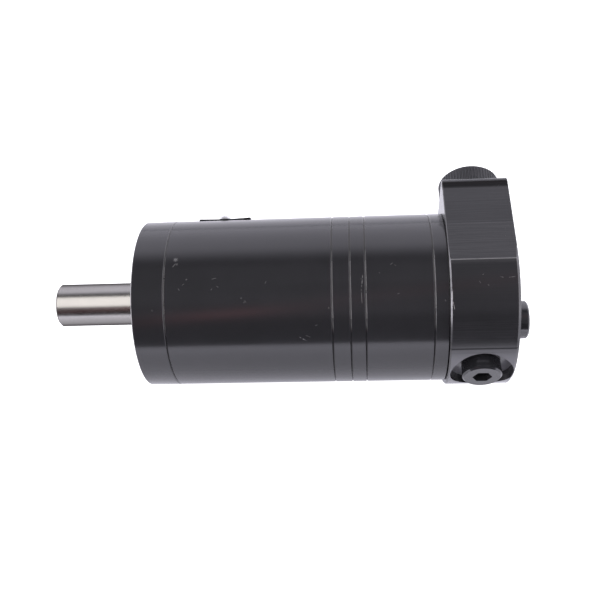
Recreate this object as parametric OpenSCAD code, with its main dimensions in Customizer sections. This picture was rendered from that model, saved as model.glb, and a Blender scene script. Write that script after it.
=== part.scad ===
// Small orbital (gerotor) hydraulic motor with two side ports in its rear cover.
// The motor axis lies along X, with the output shaft towards -X.
// The origin is on the motor axis, in the plane of the front mounting face.
// The ports open towards +Y, and the motor rests on its round body, +Z up.

/* [Body] */
// Diameter of the round body
body_d = 61.5; // [61.5:0.5:64]
// Thickness of the front cover
front_len = 11.5; // [11.5:0.5:14]
// Length of the main housing
housing_len = 58; // [58:1:66]
// Thickness of the spacer plate
spacer_len = 6.25; // [5:0.25:8]
// Thickness of the channel plate
channel_len = 5.25; // [5:0.25:8]
// Length of the gear set
gear_len = 23.25; // [18:0.25:30]
// Thickness of the wear plate
wear_len = 5; // [5:0.25:8]
// Depth of the V at the edge of each section
seam = 0.35; // [0.2:0.05:0.5]

/* [Mounting flange] */
// Diameter of the pilot boss
pilot_d = 31.5; // [30:0.5:33]
// Height of the pilot boss
pilot_h = 2.5; // [2:0.5:3]
// Pitch circle diameter of the mounting holes
mount_pcd = 45; // [44:0.5:46]
// Number of mounting holes
mount_count = 3; // [3:1:3]
// Radius of a tapped mounting hole
mount_r = 2.5; // [2:0.25:2.5]
// Depth of a tapped mounting hole
mount_depth = 10; // [8:1:10]

/* [Output shaft] */
// Diameter of the output shaft
shaft_d = 16; // [15:0.5:16]
// Length of the shaft in front of the mounting face
shaft_len = 35; // [30:1:45]
// Diameter of the valve spool that is one piece with the shaft
spool_d = 28; // [28:0.5:28.5]
// Width of the keyway
key_w = 5; // [4:1:5]
// Length of the keyway
key_len = 20; // [16:1:24]
// Depth of the keyway
key_depth = 3; // [2.5:0.5:3]

/* [Gear set] */
// Radius of the circle through the lobe centres of the ring
lobe_pitch_r = 18.5; // [18.5:0.1:18.7]
// Radius of a lobe of the ring
lobe_r = 4.6; // [4.5:0.05:4.6]
// Orbit radius of the rotor
orbit_r = 1.75; // [1.6:0.05:1.75]
// Number of rotor teeth
rotor_teeth = 6; // [6:1:6]
// Gap between the rotor and the lobes
gear_gap = 0.04; // [0.03:0.01:0.06]

/* [Drive splines] */
// Number of spline teeth
spline_teeth = 8; // [8:1:8]
// Root radius of the male spline
spline_root_r = 5.4; // [5:0.1:5.4]
// Tip radius of the male spline
spline_tip_r = 7; // [6.8:0.1:7]
// Width of a male spline tooth
spline_w = 2.2; // [1.8:0.1:2.2]
// Gap all round in each spline, which lets the drive shaft tilt
spline_gap = 0.35; // [0.3:0.05:0.4]

/* [Port cover] */
// Length of the port cover
cover_len = 23.25; // [23.25:0.25:26]
// Radius of the turned lower half
cover_r = 32.3; // [32.2:0.1:32.6]
// Distance from the motor axis to each side flat
side_h = 31.8; // [31.5:0.1:32]
// Distance from the motor axis to the port face
port_face_h = 30.5; // [30.5:0.5:33]
// Rounding of the two corners beside the port face
corner_r = 2; // [1.5:0.5:4]
// Chamfer on the front edge of the turned half
front_chamfer = 0.5; // [0.4:0.1:0.7]
// Chamfer on the rear edge of the turned half
rear_chamfer = 1; // [0.8:0.1:1.5]
// Chamfer on the end edges of the flats
flat_chamfer = 0.3; // [0.2:0.1:0.6]

/* [Ports] */
// Distance from the rear face to the axis of each port
port_from_end = 11.5; // [11.5:0.1:11.7]
// Distance from the motor axis to each port, sideways
port_offset = 16; // [16:0.5:16.5]
// Radius of a port's tapped wall
port_r = 7.5; // [7:0.25:7.5]
// Radius of the relief in a port's mouth
mouth_r = 8.3; // [8:0.1:8.4]
// Depth of the relief in a port's mouth
mouth_depth = 5; // [4.5:0.1:5]
// Depth of a port, mouth included
port_depth = 10.5; // [10:0.5:10.5]
// Outside radius of a port cap
cap_r = 11.2; // [10:0.1:11.5]
// Height of a port cap
cap_h = 9.9; // [7:0.1:12]
// Number of grip flutes on a port cap
cap_flutes = 60; // [40:1:72]
// Length of a port cap's plug inside the port
cap_plug_len = 4; // [3:0.5:4]

/* [Screw plugs] */
// Radius of a screw plug's head
plug_r = 6.9; // [6.5:0.1:7]
// Hexagon key size of a screw plug
plug_hex = 6; // [5:1:6]
// Height of the drain plug's head
drain_head_h = 4.8; // [4:0.1:6]
// Height of the rear plug's head
rear_head_h = 5.6; // [4:0.1:6]
// Radius of the tapped holes for the screw plugs
plug_hole_r = 4.4; // [4:0.1:4.4]
// Radius of the spot face around the drain plug
spot_r = 11; // [10:0.1:11.2]
// Distance from the motor axis to the floor of the spot face
spot_floor_h = 28; // [27.5:0.1:28.5]
// Height of the rear plug's axis below the motor axis, towards the drain face
rear_plug_h = 10.7; // [10:0.1:12]

/* [Fasteners] */
// Number of assembly bolts
bolt_count = 7; // [7:1:7]
// Radius of the circle through the assembly bolts
bolt_pitch_r = 24; // [24:0.1:24.2]
// Radius of a bolt shank
bolt_r = 2.5; // [2:0.1:2.5]
// Radius of a bolt head
bolt_head_r = 4.2; // [4:0.1:4.25]
// Radius of the circle through the front cover screws
screw_pitch_r = 24.5; // [24:0.1:25]

/* [Name plate] */
// Length of the name plate along the motor axis
plate_len = 19.6; // [18:0.1:22]
// Half of the angle that the name plate wraps around the body
plate_half_angle = 37.5; // [30:0.5:40]
// Angle of each rivet from the middle of the name plate
rivet_angle = 33.5; // [25:0.5:36]
// Distance from the mounting face to the middle of the name plate
plate_x = 28.9; // [25:0.1:32]
// Thickness of the name plate
plate_t = 0.5; // [0.4:0.1:0.8]

/* [Hidden] */
$fn = 96;

// A little more than nothing, so that a cut runs clear through a face
eps = 0.01;
body_r = body_d / 2;
shaft_r = shaft_d / 2;
spool_r = spool_d / 2;
pilot_r = pilot_d / 2;
lobes = rotor_teeth + 1;
lobe_step = 360 / lobes;

// Stations along the motor axis
z_housing = front_len;
z_spacer = z_housing + housing_len;
z_channel = z_spacer + spacer_len;
z_gear = z_channel + channel_len;
z_wear = z_gear + gear_len;
z_cover = z_wear + wear_len;
z_end = z_cover + cover_len;
z_port = z_end - port_from_end;
z_shaft_end = -shaft_len;

// Running gaps
run_gap = 0.03;
end_gap = 0.05;
thread_gap = 0.02;

// Front seals
dust_r = 12;
dust_z = -pilot_h + 3;
seal_r = 13.5;
seal_z0 = 2;
seal_z1 = 9.2;
backup_z1 = 11.2;
journal_r = shaft_r + 0.4;
z_journal = -pilot_h + 0.1;
web_r = journal_r + 0.6;

// Thrust bearing
washer_t = 1;
needle_r = 1;
needle_count = 18;
needle_r0 = 9.3;
needle_r1 = 13.2;
bearing_r = 14.5;
z_needle = z_housing + washer_t + needle_r;
z_shoulder = z_housing + 2 * washer_t + 2 * needle_r;

// Valve spool and its bore
z_spool_end = z_housing + 0.84 * housing_len;
spool_bore_r = 9;
z_valve = z_shoulder + 24.5;
groove_w = 4;
groove_off = 9;
groove_t = 1.3;
slot_len = 7;
slot_r = 1.3;

// Oil channels
chamber_pitch_r = 16.4;
chamber_r = 1.25;
gallery_r = 2;
gallery_angle = lobe_step / 2;

// Drive shaft
drive_r = 4.6;
drive_front_z = z_shoulder + 11;
drive_rear_z = z_gear + 0.48 * gear_len;
drive_front_half = 5;
drive_rear_half = 7;
drive_tilt = atan(orbit_r / (drive_rear_z - drive_front_z));
spline_front_end = drive_front_z - drive_front_half - 1;
drive_spacer_len = 3.4;
spacer_r = spline_root_r;
plate_bore_r = 9;

// O-rings between the sections
ring_pitch_r = 28.4;
front_ring_r = 17.7;
groove_depth = 1.4;
groove_half = 0.95;

// Assembly bolts and front screws
bolt_hole_r = bolt_r + 0.25;
bolt_sink_r = bolt_head_r + 0.2;
bolt_sink = 6;
bolt_head_h = 4.6;
bolt_thread = 12;
bolt_washer_t = 1;
socket_af = 4;
socket_depth = 2.6;
screw_angle = 60;
screw_sink = 5.5;
screw_head_h = 5;
screw_thread = 11;

// Screw plugs
seal_t = 0.9;
plug_shank_r = plug_hole_r - thread_gap;
drain_shank = 8.5;
rear_shank = 8;
rear_hole = rear_shank + 1.6;
hex_depth = 4;

// Case drain: a pocket behind the wear plate, joined to both screw plug holes
drain_hole_h = spot_floor_h - drain_shank - 3;
case_r = 2.5;
case_pocket_r = 16;
case_pocket = 1;

// Steps in each rounded corner of the port cover
corner_steps = 12;

// Port caps
cap_edge = 0.9;
flute_depth = 0.35;
cap_plug_r = mouth_r - 0.1;
cap_neck_r = cap_plug_r - 0.3;
cap_groove_r = cap_plug_r + 1.7;
cap_groove = 1.2;
cap_cord_r = 0.55;
cap_bore_r = 5.2;
cap_recess_r = 8;
cap_recess = 0.8;

// Check valves
ball_r = 2.5;
ball_bore_r = ball_r + 0.05;
ball_y = 11.5;
ball_z = 13;
ball_bore = 7.6;
ball_seat_r = 1.4;
ball_cone = 1.2;
// A ball rests just clear of the wear plate and can travel up to its seat
ball_x = z_cover + ball_r + end_gap;
passage_r = 1.8;

// Turn of the keyway from straight down
key_turn = 21;

// Name plate and its rivets
plate_r = body_r + 0.03;
rivet_head_r = 2.1;
rivet_head_h = 1.9;
rivet_shank_r = 1.2;
rivet_shank = 4;

// Paints and metals
black_paint = [0.09, 0.09, 0.1];
steel = [0.72, 0.72, 0.73];
dark_steel = [0.3, 0.3, 0.32];
rubber_black = [0.05, 0.05, 0.05];
bronze = [0.72, 0.52, 0.28];
copper = [0.75, 0.42, 0.28];
plastic_black = [0.13, 0.13, 0.14];

// Turns a shape drawn about Z so that Z runs along the motor axis,
// and angles run from +Y towards +Z
module on_axis() {
    rotate([90, 0, 90]) children();
}

// Copies evenly spaced around the motor axis
module around(count, radius, start = 0) {
    for (i = [0:count - 1])
        rotate(start + i * 360 / count)
            translate([radius, 0, 0]) children();
}

module disc(r, z0, z1) {
    translate([0, 0, z0]) cylinder(r = r, h = z1 - z0);
}

module ring(r_in, r_out, z0, z1) {
    difference() {
        disc(r_out, z0, z1);
        disc(r_in, z0 - 1, z1 + 1);
    }
}

// Solid cylinder with both edges chamfered
module turned(r, z0, z1, c) {
    rotate_extrude()
        polygon([[0, z0], [r - c, z0], [r, z0 + c], [r, z1 - c], [r - c, z1], [0, z1]]);
}

// Round cord of an O-ring that just fills its groove
module o_ring(pitch_r, z_face) {
    color(rubber_black)
        translate([0, 0, z_face - groove_depth / 2 - eps])
            rotate_extrude() translate([pitch_r, 0]) circle(r = groove_depth / 2 - eps, $fn = 32);
}

// Groove for an O-ring, cut into a rear face
module o_groove(pitch_r, z_face) {
    ring(pitch_r - groove_half, pitch_r + groove_half, z_face - groove_depth, z_face + 1);
}

module bolt_holes(z0, z1) {
    around(bolt_count, bolt_pitch_r) disc(bolt_hole_r, z0, z1);
}

module gallery_holes(z0, z1) {
    for (side = [-1, 1])
        rotate(side * gallery_angle)
            translate([bolt_pitch_r, 0, 0]) disc(gallery_r, z0, z1);
}

module chamber_holes(z0, z1) {
    around(lobes, chamber_pitch_r, lobe_step / 2) disc(chamber_r, z0, z1);
}

// Straight-sided spline; grow widens it on every side for a female cut
module spline(z0, z1, grow = 0) {
    intersection() {
        disc(spline_tip_r + grow, z0, z1);
        union() {
            disc(spline_root_r + grow, z0, z1);
            for (i = [0:spline_teeth - 1])
                rotate(i * 360 / spline_teeth)
                    translate([0, -spline_w / 2 - grow, z0])
                        cube([spline_tip_r + 1, spline_w + 2 * grow, z1 - z0]);
        }
    }
}

// Cap screw with its head's underside at z = 0 and its head towards +Z
module cap_screw(r, head_r, head_h, len) {
    chamfer = 0.3;
    difference() {
        union() {
            turned(head_r, 0, head_h, chamfer);
            turned(r, -len, head_h / 2, chamfer);
        }
        translate([0, 0, head_h - socket_depth])
            cylinder(r = socket_af / sqrt(3), h = socket_depth + 1, $fn = 6);
    }
}

// Screw plug with its head's underside at z = 0 and its head towards +Z
module screw_plug(head_h, shank) {
    chamfer = 0.6;
    difference() {
        union() {
            rotate_extrude()
                polygon([
                    [0, 0], [plug_r, 0], [plug_r, head_h - chamfer],
                    [plug_r - chamfer, head_h], [0, head_h]
                ]);
            turned(plug_shank_r, -shank, head_h / 2, chamfer);
        }
        translate([0, 0, head_h - hex_depth])
            cylinder(r = plug_hex / sqrt(3), h = hex_depth + 1, $fn = 6);
    }
}

module front_cover() {
    color(black_paint) on_axis() difference() {
        union() {
            turned(body_r, 0, front_len, seam);
            turned(pilot_r, -pilot_h, 1, seam);
        }
        disc(dust_r, -pilot_h - 1, dust_z);
        disc(web_r, -1, front_len + 1);
        disc(seal_r, seal_z0, front_len + 1);
        around(mount_count, mount_pcd / 2) disc(mount_r, -1, mount_depth);
        around(mount_count, screw_pitch_r, screw_angle) {
            disc(bolt_hole_r, -1, front_len + 1);
            disc(bolt_sink_r, -1, screw_sink);
        }
    }
}

module front_cover_screws() {
    color(dark_steel) on_axis()
        around(mount_count, screw_pitch_r, screw_angle)
            translate([0, 0, screw_sink])
                mirror([0, 0, 1])
                    cap_screw(bolt_r, bolt_head_r, screw_head_h, front_len - screw_sink + screw_thread);
}

// Wiper ring with a lip that leans outwards along the shaft
module dust_seal() {
    lip = 1.2;
    r = journal_r + run_gap;
    color(rubber_black) on_axis()
        rotate_extrude()
            polygon([
                [dust_r, -pilot_h + seam], [dust_r, dust_z], [r + lip, dust_z],
                [r + lip, dust_z - 1], [r, dust_z - 1.6], [r, -pilot_h],
                [r + lip, -pilot_h + 0.6], [dust_r - 1, -pilot_h + 0.6]
            ]);
}

// Lip seal: a case with an inner lip that runs on the shaft
module shaft_seal() {
    r = journal_r + run_gap;
    wall = 1.5;
    color(rubber_black) on_axis()
        rotate_extrude()
            polygon([
                [r + wall, seal_z0], [seal_r, seal_z0], [seal_r, seal_z1],
                [seal_r - wall, seal_z1], [seal_r - wall, seal_z0 + wall],
                [r + 2 * wall, seal_z0 + wall], [r + wall, seal_z1 - wall],
                [r, seal_z1 - 2 * wall], [r, seal_z1 - 2.4 * wall], [r + wall / 2, seal_z0 + wall]
            ]);
}

module seal_backup_ring() {
    color(steel) on_axis()
        ring(journal_r + 0.2, seal_r - thread_gap, seal_z1, backup_z1);
}

module front_cover_o_ring() {
    on_axis() o_ring(front_ring_r, z_housing + groove_depth + eps);
}

module thrust_washer_front() {
    color(steel) on_axis()
        ring(journal_r + 0.2, bearing_r, z_housing, z_housing + washer_t);
}

module thrust_washer_rear() {
    color(steel) on_axis()
        ring(journal_r + thread_gap, bearing_r, z_shoulder - washer_t, z_shoulder);
}

// Needles stand radially, evenly spaced
module needle_set(grow) {
    around(needle_count, needle_r0 - grow)
        translate([0, 0, z_needle])
            rotate([0, 90, 0])
                cylinder(r = needle_r - run_gap + grow, h = needle_r1 - needle_r0 + 2 * grow, $fn = 24);
}

module thrust_needles() {
    color(steel) on_axis() needle_set(0);
}

module thrust_needle_cage() {
    half = 0.6;
    color(bronze) on_axis()
        difference() {
            ring(journal_r + 0.4, bearing_r - 0.4, z_needle - half, z_needle + half);
            needle_set(0.05);
        }
}

module main_housing() {
    color(black_paint) on_axis() difference() {
        turned(body_r, z_housing, z_spacer, seam);
        disc(spool_r + run_gap, z_housing - 1, z_spacer + 1);
        disc(bearing_r + 0.3, z_housing - 1, z_shoulder + run_gap);
        // annular oil grooves around the spool
        for (z = [z_valve - groove_off, z_valve + groove_off])
            ring(spool_r - 1, spool_r + groove_t, z - groove_w / 2, z + groove_w / 2);
        // one channel to each chamber, with its window into the bore
        chamber_holes(z_valve, z_spacer + 1);
        around(lobes, spool_r - 1, lobe_step / 2)
            translate([0, 0, z_valve])
                rotate([0, 90, 0]) cylinder(r = chamber_r, h = chamber_pitch_r - spool_r + 1);
        // the two galleries that reach the annular grooves
        for (side = [-1, 1])
            rotate(side * gallery_angle) {
                translate([bolt_pitch_r, 0, 0])
                    disc(gallery_r, z_valve + side * groove_off, z_spacer + 1);
                translate([spool_r, 0, z_valve + side * groove_off])
                    rotate([0, 90, 0]) cylinder(r = gallery_r - 0.3, h = bolt_pitch_r - spool_r);
            }
        around(bolt_count, bolt_pitch_r)
            disc(bolt_r + thread_gap, z_spacer - bolt_thread - 2, z_spacer + 1);
        around(mount_count, screw_pitch_r, screw_angle)
            disc(bolt_r + thread_gap, z_housing - 1, z_housing + screw_thread + 2);
        ring(front_ring_r - groove_half, front_ring_r + groove_half,
             z_housing - 1, z_housing + groove_depth);
        o_groove(ring_pitch_r, z_spacer);
        for (side = [-1, 1])
            rotate(side * rivet_angle)
                translate([body_r - rivet_shank - 0.5, 0, plate_x])
                    rotate([0, 90, 0])
                        cylinder(r = rivet_shank_r + thread_gap, h = rivet_shank + 2, $fn = 32);
    }
}

// Grooves and slots on the outside of the spool, which time the oil to the gear set
module spool_cuts() {
    for (z = [z_valve - groove_off, z_valve + groove_off])
        ring(spool_r - groove_t, spool_r + 1, z - groove_w / 2, z + groove_w / 2);
    for (i = [0:2 * rotor_teeth - 1]) {
        end = (i % 2 == 0) ? -1 : 1;
        z_near = z_valve + end * (groove_off - groove_w / 2 + 1);
        z_far = z_near - end * slot_len;
        rotate(i * 180 / rotor_teeth)
            translate([spool_r, 0, min(z_near, z_far)])
                cylinder(r = slot_r, h = slot_len, $fn = 32);
    }
}

module output_shaft() {
    centre_r = 2.2;
    centre_depth = 2.4;
    chamfer = 0.5;
    color(steel) on_axis() difference() {
        rotate_extrude()
            polygon([
                [0, z_shaft_end], [shaft_r - chamfer, z_shaft_end],
                [shaft_r, z_shaft_end + chamfer], [shaft_r, z_journal],
                [journal_r, z_journal], [journal_r, z_shoulder],
                [spool_r - seam, z_shoulder], [spool_r, z_shoulder + seam],
                [spool_r, z_spool_end - seam], [spool_r - seam, z_spool_end],
                [0, z_spool_end]
            ]);
        spool_cuts();
        disc(spool_bore_r, drive_front_z + drive_front_half + 1, z_spool_end + 1);
        spline(spline_front_end, z_spool_end, spline_gap);
        // lathe centre in the free end
        translate([0, 0, z_shaft_end - eps])
            cylinder(r1 = centre_r, r2 = 0.6, h = centre_depth);
        // keyway low on the far side
        rotate(key_turn) {
            translate([-key_w / 2, -shaft_r - 1, z_shaft_end + 6])
                cube([key_w, key_depth + 1, key_len - key_w]);
            for (z = [0, key_len - key_w])
                translate([0, -shaft_r + key_depth, z_shaft_end + 6 + z])
                    rotate([90, 0, 0]) cylinder(r = key_w / 2, h = key_depth + 1, $fn = 48);
        }
    }
}

// Tilted coupling shaft: its front spline turns on the motor axis,
// and its rear spline orbits with the rotor
module drive_shaft() {
    length = drive_rear_z - drive_front_z;
    true_len = length / cos(drive_tilt);
    color(steel) on_axis()
        translate([0, 0, drive_front_z])
            rotate([0, drive_tilt, 0]) {
                disc(drive_r, -drive_front_half - 0.5, true_len + drive_rear_half + 0.5);
                spline(-drive_front_half, drive_front_half);
                spline(true_len - drive_rear_half, true_len + drive_rear_half);
            }
}

// Round button between the drive shaft and the wear plate, which orbits with the rotor
module drive_spacer() {
    color(steel) on_axis()
        translate([orbit_r, 0, 0])
            turned(spacer_r, z_wear - end_gap - drive_spacer_len, z_wear - end_gap, 0.3);
}

// Round plate of the stack with the holes that every plate shares
module stack_plate(z0, z1) {
    difference() {
        turned(body_r, z0, z1, seam);
        bolt_holes(z0 - 1, z1 + 1);
        gallery_holes(z0 - 1, z1 + 1);
        o_groove(ring_pitch_r, z1);
    }
}

module housing_o_ring() {
    on_axis() o_ring(ring_pitch_r, z_spacer);
}

module spacer_plate() {
    color(black_paint) on_axis() difference() {
        stack_plate(z_spacer, z_channel);
        disc(plate_bore_r, z_spacer - 1, z_channel + 1);
        chamber_holes(z_spacer - 1, z_channel + 1);
    }
}

module spacer_o_ring() {
    on_axis() o_ring(ring_pitch_r, z_channel);
}

module channel_plate() {
    color(black_paint) on_axis() difference() {
        stack_plate(z_channel, z_gear);
        disc(plate_bore_r, z_channel - 1, z_gear + 1);
        chamber_holes(z_channel - 1, z_gear + 1);
    }
}

module channel_o_ring() {
    on_axis() o_ring(ring_pitch_r, z_gear);
}

// Ring with inward lobes: a round pocket less the lobes that stand into it
module stator_ring() {
    pocket_r = lobe_pitch_r - lobe_r + 2 * orbit_r + 0.2;
    color(black_paint) on_axis() difference() {
        stack_plate(z_gear, z_wear);
        difference() {
            disc(pocket_r, z_gear - 1, z_wear + 1);
            around(lobes, lobe_pitch_r) disc(lobe_r, z_gear - 2, z_wear + 2);
        }
    }
}

// Point of the rotor's outline: the path of a lobe's centre, moved inwards by the lobe's radius
function rotor_point(s) =
    let (
        px = lobe_pitch_r * cos(s) - orbit_r * cos(lobes * s),
        py = lobe_pitch_r * sin(s) - orbit_r * sin(lobes * s),
        tx = -lobe_pitch_r * sin(s) + lobes * orbit_r * sin(lobes * s),
        ty = lobe_pitch_r * cos(s) - lobes * orbit_r * cos(lobes * s),
        t = sqrt(tx * tx + ty * ty),
        d = lobe_r + gear_gap
    )
    [px - d * ty / t, py + d * tx / t];

module rotor() {
    steps = 40 * rotor_teeth;
    // shifts the angles so that the points lie about evenly along the outline
    even = 5.2;
    color(steel) on_axis()
        translate([orbit_r, 0, 0])
            difference() {
                translate([0, 0, z_gear + end_gap])
                    linear_extrude(gear_len - 2 * end_gap)
                        polygon([
                            for (i = [0:steps - 1])
                                let (a = i * 360 / steps)
                                rotor_point(a - even * sin(rotor_teeth * a))
                        ]);
                spline(z_gear - 1, z_wear + 1, spline_gap);
            }
}

module stator_o_ring() {
    on_axis() o_ring(ring_pitch_r, z_wear);
}

module wear_plate() {
    color(black_paint) on_axis() difference() {
        stack_plate(z_wear, z_cover);
        disc(case_r, z_wear - 1, z_cover + 1);
    }
}

module wear_plate_o_ring() {
    on_axis() o_ring(ring_pitch_r, z_cover);
}

// Outline of the cover's flats, drawn in by inset, with the two corners beside the port face rounded
function cover_outline(inset) =
    let (
        corner = [for (k = [0:corner_steps]) 90 * k / corner_steps],
        r = corner_r - inset,
        far = port_face_h - corner_r,
        wide = side_h - corner_r
    )
    concat(
        [[-cover_r - 1, side_h - inset], [-cover_r - 1, -side_h + inset]],
        [for (a = corner) [far + r * sin(a), -wide - r * cos(a)]],
        [for (a = corner) [far + r * cos(a), wide + r * sin(a)]]
    );

// Block with flat sides, chamfered round both ends
module cover_block() {
    hull() {
        translate([0, 0, z_cover + flat_chamfer])
            linear_extrude(cover_len - 2 * flat_chamfer) polygon(cover_outline(0));
        translate([0, 0, z_cover])
            linear_extrude(cover_len) polygon(cover_outline(flat_chamfer));
    }
}

module port_cover() {
    color(black_paint) on_axis() difference() {
        intersection() {
            cover_block();
            // the half towards the drain plug is turned round
            union() {
                rotate_extrude()
                    polygon([
                        [0, z_cover], [cover_r - front_chamfer, z_cover],
                        [cover_r, z_cover + front_chamfer], [cover_r, z_end - rear_chamfer],
                        [cover_r - rear_chamfer, z_end], [0, z_end]
                    ]);
                translate([0, -cover_r - 1, z_cover - 1])
                    cube([port_face_h + 1, 2 * cover_r + 2, cover_len + 2]);
            }
        }
        // ports, each with a relieved mouth and a passage to its check valve
        for (side = [-1, 1])
            translate([0, side * port_offset, z_port])
                rotate([0, 90, 0]) {
                    translate([0, 0, port_face_h - port_depth]) cylinder(r = port_r, h = port_depth);
                    translate([0, 0, port_face_h - mouth_depth]) cylinder(r = mouth_r, h = mouth_depth + 1);
                    translate([0, side * (ball_z - port_offset), ball_y])
                        cylinder(r = passage_r, h = port_face_h - mouth_depth - ball_y);
                }
        for (side = [-1, 1])
            translate([ball_y, side * ball_z, 0]) {
                disc(ball_bore_r, z_cover - 1, z_cover + ball_bore - ball_cone);
                translate([0, 0, z_cover + ball_bore - ball_cone - eps])
                    cylinder(r1 = ball_bore_r, r2 = ball_seat_r, h = ball_cone + eps);
                disc(ball_seat_r, z_cover + ball_bore - 1, z_port);
            }
        gallery_holes(z_cover - 1, z_port);
        bolt_holes(z_cover - 1, z_end + 1);
        around(bolt_count, bolt_pitch_r) disc(bolt_sink_r, z_end - bolt_sink, z_end + 1);
        // drain hole and its spot face
        translate([0, 0, z_port])
            rotate([0, -90, 0]) {
                translate([0, 0, spot_floor_h]) cylinder(r = spot_r, h = 10);
                translate([0, 0, drain_hole_h])
                    cylinder(r = plug_hole_r, h = spot_floor_h - drain_hole_h + 1);
                translate([0, 0, rear_plug_h]) cylinder(r = case_r, h = drain_hole_h - rear_plug_h + 1);
            }
        // rear plug hole, which meets the drain hole and the case pocket
        translate([-rear_plug_h, 0, 0]) {
            disc(plug_hole_r, z_end - rear_hole, z_end + 1);
            disc(case_r, z_cover - 1, z_end);
        }
        disc(case_pocket_r, z_cover - 1, z_cover + case_pocket);
    }
}

module check_ball(side) {
    color(steel)
        on_axis() translate([ball_y, side * ball_z, ball_x]) sphere(r = ball_r, $fn = 48);
}

module check_ball_a() {
    check_ball(1);
}

module check_ball_b() {
    check_ball(-1);
}

module assembly_bolts() {
    z_seat = z_end - bolt_sink + bolt_washer_t;
    color(dark_steel) on_axis()
        around(bolt_count, bolt_pitch_r)
            translate([0, 0, z_seat])
                cap_screw(bolt_r, bolt_head_r, bolt_head_h, z_seat - z_spacer + bolt_thread);
}

module bolt_washers() {
    color(copper) on_axis()
        around(bolt_count, bolt_pitch_r)
            ring(bolt_r + 0.05, bolt_head_r, z_end - bolt_sink, z_end - bolt_sink + bolt_washer_t);
}

// Places a shape so that its z = 0 plane lies on the drain hole's spot face
module at_drain() {
    on_axis() translate([-spot_floor_h, 0, z_port]) rotate([0, -90, 0]) children();
}

module at_rear_plug() {
    on_axis() translate([-rear_plug_h, 0, z_end]) children();
}

module plug_seal() {
    color(rubber_black) ring(plug_shank_r + 0.05, plug_r - 0.2, 0, seal_t);
}

module drain_plug() {
    color(black_paint) at_drain() translate([0, 0, seal_t]) screw_plug(drain_head_h, drain_shank);
}

module drain_plug_seal() {
    at_drain() plug_seal();
}

module rear_plug() {
    color(black_paint) at_rear_plug() translate([0, 0, seal_t]) screw_plug(rear_head_h, rear_shank);
}

module rear_plug_seal() {
    at_rear_plug() plug_seal();
}

// Outline of a cap's grip: shallow flutes all round
module fluted_outline() {
    tooth = 360 / cap_flutes;
    polygon([
        for (i = [0:cap_flutes - 1])
            for (k = [0:3])
                let (a = tooth * (i + k / 4), r = cap_r - (k > 1 ? flute_depth : 0))
                [r * cos(a), r * sin(a)]
    ]);
}

// Moulded screw cap, drawn with its seat at z = 0
module port_cap() {
    difference() {
        union() {
            intersection() {
                linear_extrude(cap_h) fluted_outline();
                rotate_extrude()
                    polygon([
                        [0, 0], [cap_r - 0.4, 0], [cap_r, 0.4], [cap_r, cap_h - cap_edge],
                        [cap_r - cap_edge, cap_h], [0, cap_h]
                    ]);
            }
            turned(cap_plug_r, -cap_plug_len, 2, 0.5);
        }
        disc(cap_bore_r, -cap_plug_len - 1, cap_h / 2);
        disc(cap_recess_r, cap_h - cap_recess, cap_h + 1);
        // groove for the seal, which also thins the plug's neck
        ring(cap_neck_r, cap_groove_r, -0.3, cap_groove);
    }
}

module at_port(side) {
    on_axis() translate([port_face_h, side * port_offset, z_port]) rotate([0, 90, 0]) children();
}

module port_cap_a() {
    color(plastic_black) at_port(1) port_cap();
}

module port_cap_b() {
    color(plastic_black) at_port(-1) port_cap();
}

module cap_ring() {
    color(rubber_black)
        translate([0, 0, cap_cord_r + end_gap])
            rotate_extrude() translate([cap_groove_r - cap_cord_r - 0.2, 0]) circle(r = cap_cord_r, $fn = 24);
}

module port_cap_a_seal() {
    at_port(1) cap_ring();
}

module port_cap_b_seal() {
    at_port(-1) cap_ring();
}

// Thin plate rolled to the body, with a hole for each rivet
module name_plate() {
    half = plate_half_angle;
    color(black_paint) on_axis() difference() {
        translate([0, 0, plate_x - plate_len / 2])
            rotate(-half)
                rotate_extrude(angle = 2 * half)
                    translate([plate_r, 0]) square([plate_t, plate_len]);
        for (side = [-1, 1])
            rotate(side * rivet_angle)
                translate([plate_r - 2, 0, plate_x])
                    rotate([0, 90, 0]) cylinder(r = rivet_shank_r + thread_gap, h = 4, $fn = 32);
    }
}

// Drive rivets with low domed heads
module name_plate_rivets() {
    dome_r = (rivet_head_r * rivet_head_r + rivet_head_h * rivet_head_h) / (2 * rivet_head_h);
    color(steel) on_axis()
        for (side = [-1, 1])
            rotate(side * rivet_angle)
                translate([plate_r + plate_t, 0, plate_x])
                    rotate([0, 90, 0]) {
                        intersection() {
                            translate([0, 0, rivet_head_h - dome_r]) sphere(r = dome_r, $fn = 64);
                            cylinder(r = rivet_head_r, h = rivet_head_h);
                        }
                        translate([0, 0, -rivet_shank])
                            cylinder(r = rivet_shank_r, h = rivet_shank + 0.2, $fn = 32);
                    }
}

front_cover();
front_cover_screws();
dust_seal();
shaft_seal();
seal_backup_ring();
front_cover_o_ring();
thrust_washer_front();
thrust_needle_cage();
thrust_needles();
thrust_washer_rear();
main_housing();
output_shaft();
drive_shaft();
drive_spacer();
housing_o_ring();
spacer_plate();
spacer_o_ring();
channel_plate();
channel_o_ring();
stator_ring();
rotor();
stator_o_ring();
wear_plate();
wear_plate_o_ring();
port_cover();
check_ball_a();
check_ball_b();
assembly_bolts();
bolt_washers();
drain_plug();
drain_plug_seal();
rear_plug();
rear_plug_seal();
port_cap_a();
port_cap_a_seal();
port_cap_b();
port_cap_b_seal();
name_plate();
name_plate_rivets();
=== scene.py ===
"""Looks for the small orbital hydraulic motor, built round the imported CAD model."""

import math

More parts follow.
